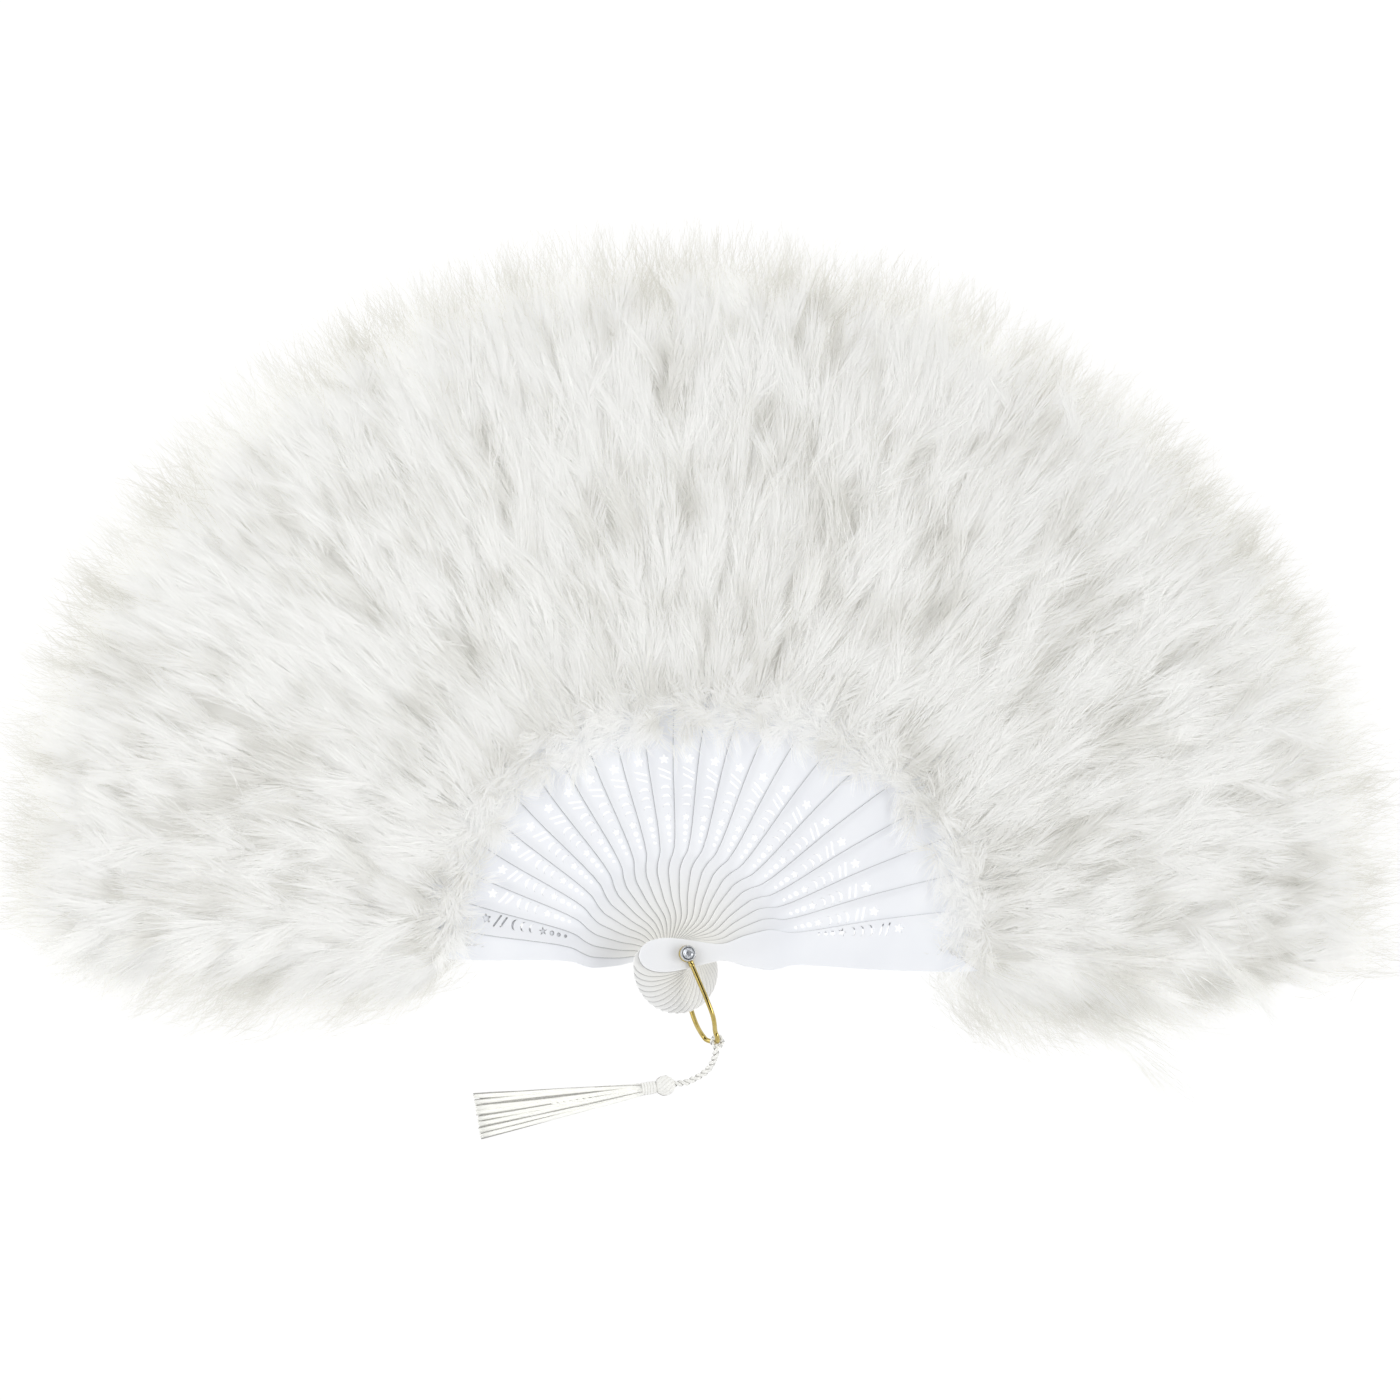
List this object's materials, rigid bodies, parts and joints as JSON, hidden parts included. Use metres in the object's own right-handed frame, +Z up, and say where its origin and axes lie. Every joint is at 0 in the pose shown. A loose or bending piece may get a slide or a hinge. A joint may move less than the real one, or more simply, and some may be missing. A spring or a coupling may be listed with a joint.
{
  "type": "folding feather fan",
  "caption": "Open folding fan of pierced white plastic sticks on a stone-set rivet, edged with a deep half-round of white down, with a gold wire bail and a thread tassel",
  "frame": {"origin": "on the rivet's axis at the back of its rear head, the plane the open fan lies on", "axes": "+Z up out of the front of the fan, +X to the right towards the front guard, +Y up the middle stick"},
  "size_m": [0.6918, 0.4351, 0.0446],
  "materials": {
    "white_plastic": "satin",
    "white_down": "matte",
    "satin_ribbon": "satin",
    "silver_metal": "polished",
    "cut_stone": "gloss",
    "gold_wire": "polished",
    "white_thread": "satin"
  },
  "bodies": {
    "rear_leaf": {"rear_guard": "white_plastic", "plume_rear": "white_down", "linking_ribbon": "satin_ribbon", "rivet_pin": "silver_metal", "rivet_setting": "silver_metal", "rivet_stone": "cut_stone"},
    "leaf_01": {"stick_01": "white_plastic", "plume_01": "white_down"},
    "leaf_02": {"stick_02": "white_plastic", "plume_02": "white_down"},
    "leaf_03": {"stick_03": "white_plastic", "plume_03": "white_down"},
    "leaf_04": {"stick_04": "white_plastic", "plume_04": "white_down"},
    "leaf_05": {"stick_05": "white_plastic", "plume_05": "white_down"},
    "leaf_06": {"stick_06": "white_plastic", "plume_06": "white_down"},
    "leaf_07": {"stick_07": "white_plastic", "plume_07": "white_down"},
    "leaf_08": {"stick_08": "white_plastic", "plume_08": "white_down"},
    "leaf_09": {"stick_09": "white_plastic", "plume_09": "white_down"},
    "leaf_10": {"stick_10": "white_plastic", "plume_10": "white_down"},
    "leaf_11": {"stick_11": "white_plastic", "plume_11": "white_down"},
    "leaf_12": {"stick_12": "white_plastic", "plume_12": "white_down"},
    "leaf_13": {"stick_13": "white_plastic", "plume_13": "white_down"},
    "leaf_14": {"stick_14": "white_plastic", "plume_14": "white_down"},
    "leaf_15": {"stick_15": "white_plastic", "plume_15": "white_down"},
    "leaf_16": {"stick_16": "white_plastic", "plume_16": "white_down"},
    "leaf_17": {"stick_17": "white_plastic", "plume_17": "white_down"},
    "leaf_18": {"stick_18": "white_plastic", "plume_18": "white_down"},
    "leaf_19": {"stick_19": "white_plastic", "plume_19": "white_down"},
    "leaf_20": {"stick_20": "white_plastic", "plume_20": "white_down"},
    "leaf_21": {"stick_21": "white_plastic", "plume_21": "white_down"},
    "leaf_22": {"stick_22": "white_plastic", "plume_22": "white_down"},
    "front_leaf": {"front_guard": "white_plastic", "plume_front": "white_down"},
    "bail_hoop": {"bail": "gold_wire"},
    "tassel": {"tassel_cord": "white_thread", "tassel_head": "white_thread", "tassel_band": "white_thread", "tassel_skirt": "white_thread"}
  },
  "joints": [
    {"name": "fan_fold", "type": "hinge", "parent": "rear_leaf", "child": "front_leaf", "pos_m": [0, 0, 0.0275], "axis": [0, 0, 1], "range_deg": [0, 171], "deforming": ["plume_rear", "plume_01", "plume_02", "plume_03", "plume_04", "plume_05", "plume_06", "plume_07", "plume_08", "plume_09", "plume_10", "plume_11", "plume_12", "plume_13", "plume_14", "plume_15", "plume_16", "plume_17", "plume_18", "plume_19", "plume_20", "plume_21", "plume_22", "plume_front", "linking_ribbon"]},
    {"name": "stick_01_turn", "type": "hinge", "parent": "rear_leaf", "child": "leaf_01", "pos_m": [0, 0, 0.006], "axis": [0, 0, 1], "range_deg": [0, 7.43]},
    {"name": "stick_02_turn", "type": "hinge", "parent": "rear_leaf", "child": "leaf_02", "pos_m": [0, 0, 0.006], "axis": [0, 0, 1], "range_deg": [0, 14.87]},
    {"name": "stick_03_turn", "type": "hinge", "parent": "rear_leaf", "child": "leaf_03", "pos_m": [0, 0, 0.006], "axis": [0, 0, 1], "range_deg": [0, 22.3]},
    {"name": "stick_04_turn", "type": "hinge", "parent": "rear_leaf", "child": "leaf_04", "pos_m": [0, 0, 0.006], "axis": [0, 0, 1], "range_deg": [0, 29.74]},
    {"name": "stick_05_turn", "type": "hinge", "parent": "rear_leaf", "child": "leaf_05", "pos_m": [0, 0, 0.006], "axis": [0, 0, 1], "range_deg": [0, 37.17]},
    {"name": "stick_06_turn", "type": "hinge", "parent": "rear_leaf", "child": "leaf_06", "pos_m": [0, 0, 0.006], "axis": [0, 0, 1], "range_deg": [0, 44.61]},
    {"name": "stick_07_turn", "type": "hinge", "parent": "rear_leaf", "child": "leaf_07", "pos_m": [0, 0, 0.006], "axis": [0, 0, 1], "range_deg": [0, 52.04]},
    {"name": "stick_08_turn", "type": "hinge", "parent": "rear_leaf", "child": "leaf_08", "pos_m": [0, 0, 0.006], "axis": [0, 0, 1], "range_deg": [0, 59.48]},
    {"name": "stick_09_turn", "type": "hinge", "parent": "rear_leaf", "child": "leaf_09", "pos_m": [0, 0, 0.006], "axis": [0, 0, 1], "range_deg": [0, 66.91]},
    {"name": "stick_10_turn", "type": "hinge", "parent": "rear_leaf", "child": "leaf_10", "pos_m": [0, 0, 0.006], "axis": [0, 0, 1], "range_deg": [0, 74.35]},
    {"name": "stick_11_turn", "type": "hinge", "parent": "rear_leaf", "child": "leaf_11", "pos_m": [0, 0, 0.006], "axis": [0, 0, 1], "range_deg": [0, 81.78]},
    {"name": "stick_12_turn", "type": "hinge", "parent": "rear_leaf", "child": "leaf_12", "pos_m": [0, 0, 0.006], "axis": [0, 0, 1], "range_deg": [0, 89.22]},
    {"name": "stick_13_turn", "type": "hinge", "parent": "rear_leaf", "child": "leaf_13", "pos_m": [0, 0, 0.006], "axis": [0, 0, 1], "range_deg": [0, 96.65]},
    {"name": "stick_14_turn", "type": "hinge", "parent": "rear_leaf", "child": "leaf_14", "pos_m": [0, 0, 0.006], "axis": [0, 0, 1], "range_deg": [0, 104.09]},
    {"name": "stick_15_turn", "type": "hinge", "parent": "rear_leaf", "child": "leaf_15", "pos_m": [0, 0, 0.006], "axis": [0, 0, 1], "range_deg": [0, 111.52]},
    {"name": "stick_16_turn", "type": "hinge", "parent": "rear_leaf", "child": "leaf_16", "pos_m": [0, 0, 0.006], "axis": [0, 0, 1], "range_deg": [0, 118.96]},
    {"name": "stick_17_turn", "type": "hinge", "parent": "rear_leaf", "child": "leaf_17", "pos_m": [0, 0, 0.006], "axis": [0, 0, 1], "range_deg": [0, 126.39]},
    {"name": "stick_18_turn", "type": "hinge", "parent": "rear_leaf", "child": "leaf_18", "pos_m": [0, 0, 0.006], "axis": [0, 0, 1], "range_deg": [0, 133.83]},
    {"name": "stick_19_turn", "type": "hinge", "parent": "rear_leaf", "child": "leaf_19", "pos_m": [0, 0, 0.006], "axis": [0, 0, 1], "range_deg": [0, 141.26]},
    {"name": "stick_20_turn", "type": "hinge", "parent": "rear_leaf", "child": "leaf_20", "pos_m": [0, 0, 0.006], "axis": [0, 0, 1], "range_deg": [0, 148.7]},
    {"name": "stick_21_turn", "type": "hinge", "parent": "rear_leaf", "child": "leaf_21", "pos_m": [0, 0, 0.006], "axis": [0, 0, 1], "range_deg": [0, 156.13]},
    {"name": "stick_22_turn", "type": "hinge", "parent": "rear_leaf", "child": "leaf_22", "pos_m": [0, 0, 0.006], "axis": [0, 0, 1], "range_deg": [0, 163.57]},
    {"name": "bail_swing", "type": "hinge", "parent": "rear_leaf", "child": "bail_hoop", "pos_m": [0, 0, 0.0166], "axis": [0, 0, 1], "range_deg": [-10, 50]},
    {"name": "tassel_swing", "type": "hinge", "parent": "bail_hoop", "child": "tassel", "pos_m": [0.01758, -0.04142, 0.0166], "axis": [0, 0, 1], "range_deg": [-6, 75]}
  ],
  "couplings": [
    {"joint": "stick_01_turn", "follows": "fan_fold", "ratio": 0.043478},
    {"joint": "stick_02_turn", "follows": "fan_fold", "ratio": 0.086957},
    {"joint": "stick_03_turn", "follows": "fan_fold", "ratio": 0.13043},
    {"joint": "stick_04_turn", "follows": "fan_fold", "ratio": 0.17391},
    {"joint": "stick_05_turn", "follows": "fan_fold", "ratio": 0.21739},
    {"joint": "stick_06_turn", "follows": "fan_fold", "ratio": 0.26087},
    {"joint": "stick_07_turn", "follows": "fan_fold", "ratio": 0.30435},
    {"joint": "stick_08_turn", "follows": "fan_fold", "ratio": 0.34783},
    {"joint": "stick_09_turn", "follows": "fan_fold", "ratio": 0.3913},
    {"joint": "stick_10_turn", "follows": "fan_fold", "ratio": 0.43478},
    {"joint": "stick_11_turn", "follows": "fan_fold", "ratio": 0.47826},
    {"joint": "stick_12_turn", "follows": "fan_fold", "ratio": 0.52174},
    {"joint": "stick_13_turn", "follows": "fan_fold", "ratio": 0.56522},
    {"joint": "stick_14_turn", "follows": "fan_fold", "ratio": 0.6087},
    {"joint": "stick_15_turn", "follows": "fan_fold", "ratio": 0.65217},
    {"joint": "stick_16_turn", "follows": "fan_fold", "ratio": 0.69565},
    {"joint": "stick_17_turn", "follows": "fan_fold", "ratio": 0.73913},
    {"joint": "stick_18_turn", "follows": "fan_fold", "ratio": 0.78261},
    {"joint": "stick_19_turn", "follows": "fan_fold", "ratio": 0.82609},
    {"joint": "stick_20_turn", "follows": "fan_fold", "ratio": 0.86957},
    {"joint": "stick_21_turn", "follows": "fan_fold", "ratio": 0.91304},
    {"joint": "stick_22_turn", "follows": "fan_fold", "ratio": 0.95652}
  ]
}
